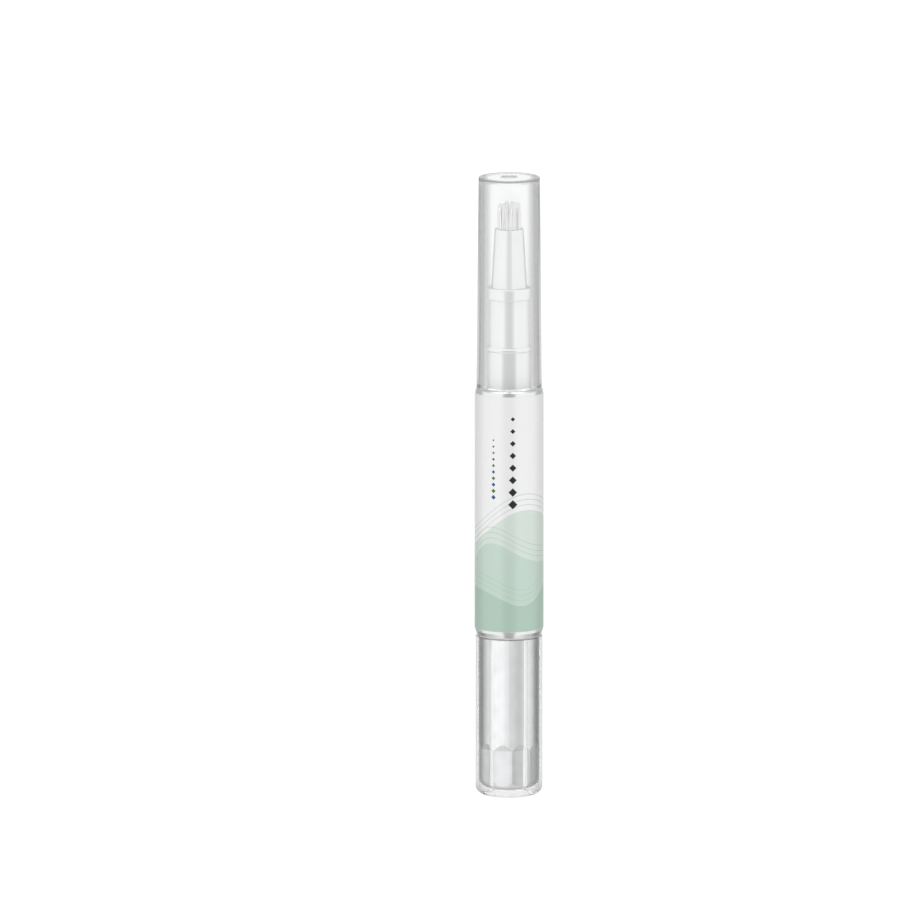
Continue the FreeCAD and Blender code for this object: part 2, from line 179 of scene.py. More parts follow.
def makeMouldSkin():
    # faint orange peel and cloudiness of moulded plastic
    group, enter, leave = newGroup("mouldSkin", {"Grain": 9.0, "Cloud": 0.6}, ["Height", "Mottle"])
    point = place(group, penPlace)["Point"]
    fine = noise(group, point, enter["Grain"], 3.0)
    broad = noise(group, point, enter["Cloud"], 1.0)
    joinTo(group, leave["Height"], calc(group, "ADD", calc(group, "MULTIPLY", fine, skinLook["fineShare"]),
                                        calc(group, "MULTIPLY", broad, skinLook["broadShare"])))
    joinTo(group, leave["Mottle"], spread(group, broad, *skinLook["mottle"], 0.0, 1.0, True))
    return group


scuffLook = {
    "streaks": ((0.35, 0.12), (-0.5, 0.2)),  # lean across the pen and stretch along it
    "barrelRadius": 6.5, "fineness": 7.0, "cut": (0.64, 0.72),
    "patchScale": 0.25, "patchFrom": 0.75, "patchFull": 0.8,
}


def makeHandling():
    # hairline scuffs from pockets and fingers: two sets of long thin noise streaks, broken up
    group, enter, leave = newGroup("handling", {"Density": 0.5}, ["Mask"])
    spot = place(group, penPlace)
    marks = []
    for lean, stretch in scuffLook["streaks"]:
        along = calc(group, "MULTIPLY", spot["Height"], stretch)
        around = calc(group, "MULTIPLY", spot["Turn"], scuffLook["barrelRadius"])
        across = calc(group, "ADD", around, calc(group, "MULTIPLY", spot["Height"], lean))
        both = group.nodes.new("ShaderNodeCombineXYZ")
        joinTo(group, both.inputs[0], calc(group, "MULTIPLY", across, scuffLook["fineness"]))
        joinTo(group, both.inputs[1], along)
        streak = noise(group, both.outputs[0], 1.0, 1.0, "2D")
        marks.append(spread(group, streak, *scuffLook["cut"], 0.0, 1.0, True))
    patch = noise(group, spot["Point"], scuffLook["patchScale"], 1.0)
    patchFrom = calc(group, "SUBTRACT", scuffLook["patchFrom"], enter["Density"])
    where = spread(group, patch, patchFrom, scuffLook["patchFull"], 0.0, 1.0, True)
    joinTo(group, leave["Mask"], calc(group, "MULTIPLY", calc(group, "MAXIMUM", *marks), where))
    return group


lineLook = {"broadScale": 0.12, "fineShare": 0.5, "broadShare": 0.5, "shade": (0.35, 0.7)}


def makeFineLines():
    # parallel drawing or turning lines, read along one coordinate
    group, enter, leave = newGroup("fineLines", {"Along": 0.0, "Pitch": 8.0}, ["Height", "Shade"])
    along = calc(group, "MULTIPLY", enter["Along"], enter["Pitch"])
    fine = noise(group, along, 1.0, 2.0, "1D")
    broad = noise(group, along, lineLook["broadScale"], 1.0, "1D")
    joinTo(group, leave["Height"], fine)
    joinTo(group, leave["Shade"], calc(group, "ADD", calc(group, "MULTIPLY", fine, lineLook["fineShare"]),
                                       calc(group, "MULTIPLY", broad, lineLook["broadShare"])))
    return group


wearLook = {"raggedScale": 1.7, "fade": -0.5}


def makeRimWear():
    # broken band along the two ends of a sleeve
    group, enter, leave = newGroup("rimWear", {"Low": 0.0, "High": 1.0, "Reach": 0.6}, ["Mask"])
    spot = place(group, penPlace)
    fromLow = calc(group, "SUBTRACT", spot["Height"], enter["Low"])
    fromHigh = calc(group, "SUBTRACT", enter["High"], spot["Height"])
    nearest = calc(group, "MINIMUM", fromLow, fromHigh)
    ragged = noise(group, spot["Point"], wearLook["raggedScale"], 3.0)
    ragged = calc(group, "MULTIPLY", ragged, enter["Reach"])
    fade = calc(group, "MULTIPLY", enter["Reach"], wearLook["fade"])
    joinTo(group, leave["Mask"], spread(group, calc(group, "SUBTRACT", nearest, ragged), 0.0, fade,
                                        0.0, 1.0, True))
    return group


penPlace = makePenPlace()
mouldSkin = makeMouldSkin()
handling = makeHandling()
fineLines = makeFineLines()
rimWear = makeRimWear()
print("shared effects made:", len(bpy.data.node_groups), "groups")


# Materials

def newFinish(name, **plain):
    material = bpy.data.materials.new(name)
    material.use_nodes = True
    tree = material.node_tree
    shader = tree.nodes["Principled BSDF"]
    for label, value in plain.items():
        shader.inputs[label.replace("_", " ")].default_value = value
    return material, tree, shader.inputs


def bumpFrom(tree, height, strength, depth):
    node = tree.nodes.new("ShaderNodeBump")
    node.inputs["Strength"].default_value = strength
    node.inputs["Distance"].default_value = depth * mm
    joinTo(tree, node.inputs["Height"], height)
    return node.outputs["Normal"]


def facingShadeRamp(tree, stops):
    # painted shade: level of a clear or milky wall by how far it turns away from the eye: 0 faces it, 1 is
    # the outline
    weight = tree.nodes.new("ShaderNodeLayerWeight")
    return levelRamp(tree, weight.outputs["Facing"], stops)


# heights, depths and radii are in mm, and bump is a strength with its depth
clearLook = {
    # the cap's wall has painted shade: it is darkest a little inside its outline, more so towards the mouth,
    # where it is thickest
    "cap": {"tint": (0.985, 0.99, 0.99, 1), "ior": 1.49, "polish": 0.012, "scuffed": 0.08, "scuffs": 0.3,
            "wall": ((0.2, 1), (0.33, 0.86), (0.4, 0.76), (0.47, 0.57), (0.57, 0.32), (0.65, 0.22),
                     (1, 0.24)),
            "thick": ((0.2, 1), (0.33, 0.86), (0.4, 0.74), (0.47, 0.5), (0.55, 0.23), (0.6, 0.18),
                      (0.67, 0.5), (0.75, 0.8), (1, 0.8)),
            "bore": ((0.5, 1), (1, 0.8)), "boreRadius": 5.2, "thickFrom": 116.0, "thickBy": 96.0,
            "topDepth": 2.2, "topLift": 0.3, "rimDepth": 0.35, "rimRadius": 6.0, "rimShade": 0.3,
            "gateInner": 1.32, "gateRadius": 2.2, "gateDepth": 0.6, "gateShade": 0.45},
    # the low IOR keeps the core at its own width, and the coat gives the gloss
    "knob": {"tint": (0.985, 0.99, 0.99, 1), "ior": 1.04, "coat": 1.0, "coatGloss": 0.03,
             "polish": 0.012, "scuffed": 0.09, "scuffs": 0.35,
             "wall": ((0.18, 1), (0.3, 0.92), (0.45, 0.62), (0.55, 0.48), (0.58, 0.92), (0.8, 0.86),
                      (1, 0.72)),
             "base": ((0.4, 0.73), (0.62, 0.6), (0.8, 0.48), (1, 0.42)), "baseFrom": 1.2, "baseBy": 2.4,
             "rimShade": 0.3},
    "flow": {"Grain": 0.22, "Cloud": 0.08}, "flowBump": (0.2, 0.02),
}


def clearSurface(tree, inputs, look):
    marks = place(tree, handling, Density=look["scuffs"])["Mask"]
    joinTo(tree, inputs["Roughness"], spread(tree, marks, 0.0, 1.0, look["polish"], look["scuffed"]))
    flow = place(tree, mouldSkin, **clearLook["flow"])["Height"]
    joinTo(tree, inputs["Normal"], bumpFrom(tree, flow, *clearLook["flowBump"]))


def capPlastic():
    look = clearLook["cap"]
    material, tree, inputs = newFinish("clear_cap", Transmission_Weight=1.0, IOR=look["ior"])
    clearSurface(tree, inputs, look)
    spot = place(tree, penPlace)
    # painted shade on the wall and the bore, set by the angle to the eye and stronger towards the mouth
    outside = calc(tree, "GREATER_THAN", spot["Radius"], look["boreRadius"])
    thick = spread(tree, spot["Height"], look["thickFrom"], look["thickBy"], 0.0, 1.0)
    wall = mixColors(tree, thick, facingShadeRamp(tree, look["wall"]), facingShadeRamp(tree, look["thick"]))
    level = mixColors(tree, outside, facingShadeRamp(tree, look["bore"]), wall)
    # painted light: the painted shade fades towards white near the top
    lift = spread(tree, spot["Height"], capTop - look["topDepth"], capTop, 0.0, look["topLift"], True)
    level = mixColors(tree, lift, level, white)
    # painted shade: a dark grey band round the outer edge of the top
    onShadedRim = calc(tree, "MULTIPLY", calc(tree, "GREATER_THAN", spot["Height"], capTop - look["rimDepth"]),
                 calc(tree, "GREATER_THAN", spot["Radius"], look["rimRadius"]))
    level = mixColors(tree, onShadedRim, level, grey(look["rimShade"]))
    leaving = tree.nodes.new("ShaderNodeNewGeometry").outputs["Backfacing"]
    level = mixColors(tree, leaving, level, white)  # light inside the wall isn't darkened again
    color = mixColors(tree, level, black, look["tint"])
    # the gate mark at the middle of the top is real; its grey tint is painted shade of the dimple
    inside = spread(tree, spot["Radius"], look["gateInner"], look["gateRadius"], 1.0, 0.0, True)
    onTop = calc(tree, "GREATER_THAN", spot["Height"], capTop - look["gateDepth"])
    onGate = calc(tree, "MULTIPLY", inside, onTop)
    joinTo(tree, inputs["Base Color"], mixColors(tree, onGate, color, grey(look["gateShade"])))
    return material


def knobPlastic():
    look = clearLook["knob"]
    material, tree, inputs = newFinish("clear_knob", Transmission_Weight=1.0, IOR=look["ior"],
                                       Coat_Weight=look["coat"], Coat_Roughness=look["coatGloss"])
    clearSurface(tree, inputs, look)
    # painted shade: the cover's wall greys towards its outline by the angle to the eye
    color = mixColors(tree, facingShadeRamp(tree, look["wall"]), black, look["tint"])
    height = place(tree, penPlace)["Height"]
    # painted shadow: a dark grey band on the rim above the core, where the gap under the shell is in shade
    overCore = calc(tree, "GREATER_THAN", height, coreTop)
    color = mixColors(tree, overCore, color, grey(look["rimShade"]))
    # painted shade: the clear base greys by the angle to the eye, darkest at its rounded corners
    thick = spread(tree, height, look["baseFrom"], look["baseBy"], 1.0, 0.0, True)
    joinTo(tree, inputs["Base Color"], mixColors(tree, thick, color, facingShadeRamp(tree, look["base"])))
    return material


# painted shade: a grey stripe where a milky wall faces the eye, and a darker outline, both set by the angle
# to the eye
milkyLook = {
    "nozzle": {"tint": (0.985, 0.99, 0.99, 1), "haze": (0.12, 0.2), "passes": 0.1,
               "wall": ((0, 0.74), (0.006, 0.78), (0.03, 0.98), (0.5, 1), (0.75, 0.7), (1, 0.45))},
    "holder": {"tint": (0.985, 0.99, 0.99, 1), "haze": (0.32, 0.4), "passes": 0.08,
               "wall": ((0, 0.66), (0.008, 0.68), (0.06, 0.98), (0.4, 1), (0.7, 0.85), (1, 0.62))},
    "liner": {"tint": (0.985, 0.99, 0.99, 1), "haze": (0.34, 0.42), "passes": 0.08,
              "wall": ((0, 0.64), (0.025, 0.68), (0.1, 0.98), (0.4, 1), (0.7, 0.85), (1, 0.65))},
    "ior": 1.49, "skin": {"Grain": 2.0, "Cloud": 0.4}, "bump": (0.06, 0.01),
}


def milkyPlastic(name):
    look = milkyLook[name]
    material, tree, inputs = newFinish("milky_" + name, Transmission_Weight=look["passes"],
                                       IOR=milkyLook["ior"])
    skin = place(tree, mouldSkin, **milkyLook["skin"])
    joinTo(tree, inputs["Roughness"], spread(tree, skin["Mottle"], 0.0, 1.0, *look["haze"]))
    joinTo(tree, inputs["Normal"], bumpFrom(tree, skin["Height"], *milkyLook["bump"]))
    # painted shade from the facing ramp
    color = mixColors(tree, facingShadeRamp(tree, look["wall"]), black, look["tint"])
    joinTo(tree, inputs["Base Color"], color)
    return material


nylonLook = {
    "root": (0.985, 0.985, 0.98, 1), "tip": (0.995, 0.995, 0.99, 1), "rootAt": 114.0, "tipAt": 121.0,
    # noise over the strands: its scale, then the ranges of it that tint and gloss run over
    "strandScale": 4.0, "tintOver": (0.3, 0.7), "tint": (0.6, 1.0), "glossOver": (0.2, 0.8),
    "gloss": (0.28, 0.42), "ior": 1.53,
}


def nylonFilament():
    material, tree, inputs = newFinish("nylon_filament", IOR=nylonLook["ior"])
    spot = place(tree, penPlace)
    strand = noise(tree, spot["Point"], nylonLook["strandScale"], 1.0)
    rise = spread(tree, spot["Height"], nylonLook["rootAt"], nylonLook["tipAt"], 0.0, 1.0, True)
    tint = spread(tree, strand, *nylonLook["tintOver"], *nylonLook["tint"])
    share = calc(tree, "MULTIPLY", rise, tint)
    joinTo(tree, inputs["Base Color"], mixColors(tree, share, nylonLook["root"], nylonLook["tip"]))
    gloss = spread(tree, strand, *nylonLook["glossOver"], *nylonLook["gloss"])
    joinTo(tree, inputs["Roughness"], gloss)
    return material


opaqueLook = {
    "natural": {"low": (0.88, 0.88, 0.85, 1), "high": (0.93, 0.93, 0.9, 1), "gloss": (0.35, 0.45),
                "grain": 8.0},
    "acetal": {"low": (0.84, 0.84, 0.81, 1), "high": (0.9, 0.9, 0.88, 1), "gloss": (0.3, 0.4),
               "grain": 12.0},
    "cloud": 0.7, "bump": (0.3, 0.02),
}


def mouldedWhite(name):
    look = opaqueLook[name]
    material, tree, inputs = newFinish(name + "_plastic")
    skin = place(tree, mouldSkin, Grain=look["grain"], Cloud=opaqueLook["cloud"])
    joinTo(tree, inputs["Base Color"], mixColors(tree, skin["Mottle"], look["low"], look["high"]))
    joinTo(tree, inputs["Roughness"], spread(tree, skin["Mottle"], 0.0, 1.0, *look["gloss"]))
    joinTo(tree, inputs["Normal"], bumpFrom(tree, skin["Height"], *opaqueLook["bump"]))
    return material


shellLook = {
    "bright": (0.93, 0.935, 0.94, 1), "dull": (0.82, 0.825, 0.83, 1), "polish": 0.1, "worn": 0.3,
    "linePitch": 30.0, "lineDull": 0.7, "scuffs": 0.4, "bump": (0.15, 0.01),
}


def drawnAluminium():
    material, tree, inputs = newFinish("drawn_aluminium", Metallic=1.0)
    spot = place(tree, penPlace)
    lines = place(tree, fineLines, Along=spot["Height"], Pitch=shellLook["linePitch"])
    marks = place(tree, handling, Density=shellLook["scuffs"])["Mask"]
    lined = spread(tree, lines["Shade"], *lineLook["shade"], 0.0, shellLook["lineDull"])
    dull = calc(tree, "MAXIMUM", lined, marks)
    joinTo(tree, inputs["Base Color"], mixColors(tree, dull, shellLook["bright"], shellLook["dull"]))
    joinTo(tree, inputs["Roughness"], spread(tree, dull, 0.0, 1.0, shellLook["polish"], shellLook["worn"]))
    joinTo(tree, inputs["Normal"], bumpFrom(tree, lines["Height"], *shellLook["bump"]))
    return material


coreLook = {
    "bright": (0.9, 0.9, 0.905, 1), "dull": (0.8, 0.8, 0.81, 1), "polish": 0.09, "hazy": 0.2,
    "linePitch": 60.0, "skin": {"Grain": 5.0, "Cloud": 0.4}, "bump": (0.08, 0.01),
    # keyways shown white instead of silver, with a painted highlight lip beside each on its front side:
    # count, turn of one of them from the front in degrees, half width, lip width and outer radius
    "keyways": 5, "keyTurn": -37.0, "keyHalf": 0.3, "highlightLip": 0.3, "keyRadius": 6.08,
    "bareAndPaintedLight": (0.95, 0.95, 0.945, 1), "facetHeight": 8.3, "facetHaze": 0.2,
    # painted shade: faces that look down are turned partly from silver to white plastic, so they show a set
    # grey
    "underSlope": -0.2, "underShadeShare": 0.3,  # faces that look down, such as the arches over the facets
}


def silverCoat():
    material, tree, inputs = newFinish("silver_coat")
    spot = place(tree, penPlace)
    lines = place(tree, fineLines, Along=spot["Turn"], Pitch=coreLook["linePitch"])
    skin = place(tree, mouldSkin, **coreLook["skin"])
    dull = calc(tree, "MULTIPLY", spread(tree, lines["Shade"], *lineLook["shade"], 0.0, 1.0), skin["Mottle"])
    step = 2 * math.pi / coreLook["keyways"]
    fromKey = calc(tree, "SUBTRACT", spot["Turn"], math.radians(coreLook["keyTurn"]))
    fromKey = calc(tree, "WRAP", fromKey, step / 2, -step / 2)
    across = calc(tree, "MULTIPLY", calc(tree, "ABSOLUTE", fromKey), spot["Radius"])
    inKey = calc(tree, "MULTIPLY", calc(tree, "LESS_THAN", across, coreLook["keyHalf"]),
                 calc(tree, "LESS_THAN", spot["Radius"], coreLook["keyRadius"]))
    # painted highlight: a white lip on the side of each keyway nearer the front
    highlightSide = calc(tree, "LESS_THAN", calc(tree, "MULTIPLY", fromKey, spot["Turn"]), 0.0)
    onHighlightLip = calc(tree, "LESS_THAN", across, coreLook["keyHalf"] + coreLook["highlightLip"])
    bareAndPaintedLight = calc(tree, "MAXIMUM", inKey, calc(tree, "MULTIPLY", onHighlightLip, highlightSide))
    # painted shade on faces that look down, read from the surface normal
    facing = tree.nodes.new("ShaderNodeSeparateXYZ")
    joinTo(tree, facing.inputs[0], tree.nodes.new("ShaderNodeNewGeometry").outputs["Normal"])
    paintedUnderShade = spread(tree, facing.outputs["Z"], 0.0, coreLook["underSlope"], 0.0, coreLook["underShadeShare"])
    bareAndPaintedLight = calc(tree, "MAXIMUM", bareAndPaintedLight, paintedUnderShade)
    silver = mixColors(tree, dull, coreLook["bright"], coreLook["dull"])
    joinTo(tree, inputs["Base Color"], mixColors(tree, bareAndPaintedLight, silver, coreLook["bareAndPaintedLight"]))
    joinTo(tree, inputs["Metallic"], calc(tree, "SUBTRACT", 1.0, bareAndPaintedLight))
    onFacet = calc(tree, "LESS_THAN", spot["Height"], coreFoot + coreLook["facetHeight"])
    haze = spread(tree, dull, 0.0, 1.0, coreLook["polish"], coreLook["hazy"])
    joinTo(tree, inputs["Roughness"], calc(tree, "MULTIPLY_ADD", onFacet, coreLook["facetHaze"], haze))
    joinTo(tree, inputs["Normal"], bumpFrom(tree, lines["Height"], *coreLook["bump"]))
    return material


labelLook = {
    "paper": (0.86, 0.865, 0.86, 1), "paleMint": (0.66, 0.745, 0.69, 1), "mint": (0.545, 0.675, 0.595, 1),
    "deepMint": (0.43, 0.58, 0.49, 1), "line": (0.42, 0.57, 0.475, 1),
    "dark": (0.012, 0.013, 0.014, 1), "blue": (0.012, 0.07, 0.26, 1), "green": (0.035, 0.19, 0.03, 1),
    # waves from back to front: crest above the label's foot in mm, swing, waves round and shift
    "waves": (
        ("paleMint", 21.0, 3.4, 1, 0.6), ("mint", 15.5, 2.6, 2, 2.1), ("deepMint", 7.5, 2.0, 2, 4.4),
    ),
    "overtone": 0.35, "edge": 0.03,  # share of a faster second wave, and soft edge in mm
    "lineStep": 1.1, "lineCount": 3, "lineWidth": 0.16, "lineInk": 0.6,
    # chains of lozenges: two colours in turn, degrees from the front, lowest, highest, pitch and width in mm
    "chains": (("dark", "dark", 6.0, 25.0, 45.0, 2.5, 1.9), ("blue", "green", -27.0, 27.0, 40.0, 1.3, 1.0)),
    # half sizes as shares of the width, and soft edge in mm
    "firstLozenge": 0.5, "lastLozenge": 0.2, "lozengeEdge": 0.04,
    "pearl": 0.2, "gloss": 0.3, "worn": 0.5, "coat": 0.25, "coatGloss": 0.12,
    "edgeWear": 0.35, "rubbed": 0.5, "scuffs": 0.35,
    "skin": {"Grain": 14.0, "Cloud": 0.8}, "bump": (0.12, 0.01),
}


def makeLozenges():
    # upright chain of lozenges that grow smaller upwards: mask and number of the lozenge
    group, enter, leave = newGroup(
        "lozenges", {"Turn": 0.0, "Low": 0.0, "High": 1.0, "Pitch": 1.0, "Width": 1.0}, ["Mask", "Number"])
    spot = place(group, penPlace)
    across = calc(group, "MULTIPLY", calc(group, "SUBTRACT", spot["Turn"], enter["Turn"]), spot["Radius"])
    rise = calc(group, "SUBTRACT", calc(group, "SUBTRACT", spot["Height"], labelFoot), enter["Low"])
    rows = calc(group, "DIVIDE", rise, enter["Pitch"])
    number = calc(group, "FLOOR", rows)
    fromMiddle = calc(group, "SUBTRACT", calc(group, "FRACT", rows), 0.5)
    along = calc(group, "MULTIPLY", fromMiddle, enter["Pitch"])
    room = calc(group, "SUBTRACT", enter["High"], enter["Low"])
    size = spread(group, calc(group, "MULTIPLY", number, enter["Pitch"]), 0.0, room,
                  labelLook["firstLozenge"], labelLook["lastLozenge"])
    size = calc(group, "MULTIPLY", size, enter["Width"])
    reach = calc(group, "ADD", calc(group, "ABSOLUTE", across), calc(group, "ABSOLUTE", along))
    edge = labelLook["lozengeEdge"]
    inside = spread(group, calc(group, "SUBTRACT", reach, size), -edge, edge, 1.0, 0.0)
    within = calc(group, "MULTIPLY", calc(group, "GREATER_THAN", rise, 0.0),
                  calc(group, "LESS_THAN", rise, room))
    joinTo(group, leave["Mask"], calc(group, "MULTIPLY", inside, within))
    joinTo(group, leave["Number"], number)
    return group


lozenges = makeLozenges()


def labelPrint():
    material, tree, inputs = newFinish("label_print", Metallic=labelLook["pearl"],
                                       Coat_Weight=labelLook["coat"], Coat_Roughness=labelLook["coatGloss"])
    spot = place(tree, penPlace)
    rise = calc(tree, "SUBTRACT", spot["Height"], labelFoot)
    edge = labelLook["edge"]
    half = labelLook["lineWidth"] / 2
    color = labelLook["paper"]
    for name, crest, swing, around, shift in labelLook["waves"]:
        first = calc(tree, "MULTIPLY_ADD", spot["Turn"], around, shift)
        second = calc(tree, "MULTIPLY_ADD", spot["Turn"], around + 1, shift * 2)
        brim = calc(tree, "MULTIPLY_ADD", calc(tree, "SINE", first), swing, crest)
        brim = calc(tree, "MULTIPLY_ADD", calc(tree, "SINE", second), swing * labelLook["overtone"], brim)
        depth = calc(tree, "SUBTRACT", brim, rise)
        color = mixColors(tree, spread(tree, depth, -edge, edge, 0.0, 1.0), color, labelLook[name])
        for n in range(labelLook["lineCount"]):
            away = calc(tree, "ABSOLUTE", calc(tree, "ADD", depth, labelLook["lineStep"] * (n + 1)))
            ink = spread(tree, away, half - edge, half + edge, labelLook["lineInk"], 0.0)
            color = mixColors(tree, ink, color, labelLook["line"])
    for even, odd, turn, low, high, pitch, width in labelLook["chains"]:
        chain = place(tree, lozenges, Turn=math.radians(turn), Low=low, High=high, Pitch=pitch, Width=width)
        other = calc(tree, "MODULO", chain["Number"], 2.0)
        ink = mixColors(tree, other, labelLook[even], labelLook[odd])
        color = mixColors(tree, chain["Mask"], color, ink)
    rubbed = place(tree, rimWear, Low=labelFoot, High=labelTop, Reach=labelLook["edgeWear"])["Mask"]
    color = mixColors(tree, calc(tree, "MULTIPLY", rubbed, labelLook["rubbed"]), color, labelLook["paper"])
    joinTo(tree, inputs["Base Color"], color)
    skin = place(tree, mouldSkin, **labelLook["skin"])
    marks = calc(tree, "MAXIMUM", place(tree, handling, Density=labelLook["scuffs"])["Mask"], rubbed)
    joinTo(tree, inputs["Roughness"], spread(tree, marks, 0.0, 1.0, labelLook["gloss"], labelLook["worn"]))
    joinTo(tree, inputs["Normal"], bumpFrom(tree, skin["Height"], *labelLook["bump"]))
    return material


finishes = {
    "cap": capPlastic(),
    "knob_cover": knobPlastic(),
    "brush_ferrule": milkyPlastic("nozzle"),
    "brush_holder": milkyPlastic("holder"),
    "reservoir_liner": milkyPlastic("liner"),
    "barrel_shell": drawnAluminium(),
    "label": labelPrint(),
    "knob_core": silverCoat(),
}
natural = mouldedWhite("natural")
acetal = mouldedWhite("acetal")
for name in ("feed_tube", "piston"):
    finishes[name] = natural
for name in ("lead_screw", "thread_nut", "ratchet_ring", "drive_bush"):
    finishes[name] = acetal
for name, material in finishes.items():
    nodes[name].data.materials.clear()
    nodes[name].data.materials.append(material)
for name in ("cap", "knob_cover"):
    nodes[name].visible_diffuse = False  # scattered light passes the clear walls whole
print("finishes set on", len(finishes), "nodes")


# Brush

brush = {
    # sizes and heights in mm
    "filaments": 300, "rootRadius": 0.1, "tipRadius": 0.045, "field": 2.2, "tipField": 2.45,
    "closeAbove": 114.3, "closeRate": 1.5, "uneven": 0.9, "dome": 0.3, "sway": 0.1, "sides": 6, "rings": 8,
    "seed": 7, "discHeight": 0.8, "tubeRadius": 0.82, "discRadius": 2.3, "discSides": 48, "bedded": 0.2,
    "clumps": 13, "clumpPull": 0.42, "clumpDrop": 0.7,  # tips drawn together, some clumps lower than others
}


def strandTube(mesh, path, radii, sides):
    rings = []
    for centre, radius in zip(path, radii):
        ring = []
        for n in range(sides):
            turn = 2 * math.pi * n / sides
            ring.append(mesh.verts.new(centre + Vector((math.cos(turn), math.sin(turn), 0)) * radius))
        rings.append(ring)
    for low, high in zip(rings, rings[1:]):
        for n in range(sides):
            face = mesh.faces.new((low[n - 1], low[n], high[n], high[n - 1]))
            face.smooth = True
    mesh.faces.new(rings[-1])
    mesh.faces.new(list(reversed(rings[0])))


def rootDisc(mesh, low):
    inner, outer, thick = brush["tubeRadius"], brush["discRadius"], brush["discHeight"]
    corners = ((inner, 0), (outer, 0), (outer, thick), (inner, thick))
    rings = []
    for n in range(brush["discSides"]):
        turn = 2 * math.pi * n / brush["discSides"]
        rings.append([mesh.verts.new(Vector((r * math.cos(turn), r * math.sin(turn), low + z)) * mm)
                      for r, z in corners])
    for before, after in zip(rings[-1:] + rings, rings):
        for n in range(len(corners)):
            mesh.faces.new((before[n - 1], after[n - 1], after[n], before[n]))


def buildBrush():
    draw = random.Random(brush["seed"])
    mesh = bmesh.new()
    foot, high = spanOf("bristle_tuft")
    rootDisc(mesh, foot)
    low = foot + brush["discHeight"] - brush["bedded"]
    golden = math.pi * (3 - math.sqrt(5))
    inner, outer = brush["tubeRadius"] + brush["rootRadius"], brush["field"]
    clumps = []
    for k in range(brush["clumps"]):
        r = brush["tipField"] * math.sqrt((k + 0.5) / brush["clumps"])
        clumps.append((Vector((math.cos(k * golden), math.sin(k * golden), 0)) * r, draw.random()))
    for k in range(brush["filaments"]):
        share = (k + 0.5) / brush["filaments"]
        turn = k * golden
        rootR = math.sqrt(inner ** 2 + (outer ** 2 - inner ** 2) * share)
        tipR = brush["tipField"] * math.sqrt(share)
        swayX, swayY = (draw.uniform(-1, 1) * brush["sway"] for _ in range(2))
        tip = high - brush["uneven"] * draw.random() ** 2 - brush["dome"] * share ** 2
        tipSpot = Vector((math.cos(turn), math.sin(turn), 0)) * tipR
        clump, drop = min(clumps, key=lambda pair: (pair[0] - tipSpot).length)
        lean = (clump - tipSpot) * brush["clumpPull"] + Vector((swayX, swayY, 0))
        tip -= drop * brush["clumpDrop"]
        path = []
        radii = []
        for n in range(brush["rings"]):
            t = n / (brush["rings"] - 1)
            z = low + (tip - low) * t
            u = max(0.0, (z - brush["closeAbove"]) / (high - brush["closeAbove"]))
            r = rootR + (tipR - rootR) * min(1.0, u * brush["closeRate"])
            path.append((Vector((math.cos(turn) * r, math.sin(turn) * r, z)) + lean * u ** 3) * mm)
            radii.append((brush["rootRadius"] + (brush["tipRadius"] - brush["rootRadius"]) * u ** 2) * mm)
        strandTube(mesh, path, radii, brush["sides"])
    made = bpy.data.meshes.new("brush_filaments")
    mesh.to_mesh(made)
    mesh.free()
    made.materials.append(nylonFilament())
    piece = bpy.data.objects.new("brush_filaments", made)
    bpy.context.scene.collection.objects.link(piece)
    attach(piece, "barrel")
    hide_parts("bristle_tuft")


buildBrush()
print("brush made:", brush["filaments"], "filaments")


# Stage, light and camera

stageLook = {
    "floorSize": 12.0, "floorGlow": 0.78, "floorShade": 0.34, "floorTone": 0.95,
    # soft boxes round the pen: turn from the camera in degrees (right is plus) and level,
    # as mirrored, as seen through clear walls and as scattered light
    "mirrored": ((-180, 1), (-166, 1), (-150, 0.5), (-112, 0.5), (-92, 0.95), (-26, 1), (-15, 0.5),
                 (0, 0.45), (15, 0.5), (26, 1), (92, 0.95), (112, 0.5), (150, 0.5), (166, 1), (180, 1)),
    "through": ((-180, 1), (-168, 0.98), (-159, 0.82), (-148, 0.68), (-137, 0.58), (-126, 0.68),
                (-116, 0.78), (-96, 0.84), (-66, 0.95), (-58, 1.1), (-23, 1.08), (-8, 0.95), (8, 0.8),
                (39, 0.62), (56, 0.7), (73, 0.98), (94, 0.86), (116, 0.72), (126, 0.64), (137, 0.56),
                (148, 0.68), (159, 0.82), (168, 0.98), (180, 1)),
    "diffuse": ((-180, 0.85), (-150, 0.6), (-120, 0.5), (-75, 1.1), (0, 1.28), (75, 1.1), (120, 0.5),
                (150, 0.6), (180, 0.85)),
    # levels from straight below to straight above, by elevation in degrees
    "heights": ((-90, 1.1), (-52, 1.05), (-44, 0.95), (-39, 0.6), (-28, 0.55), (-18, 1), (20, 1), (50, 1.25),
                (90, 1.3)),
}


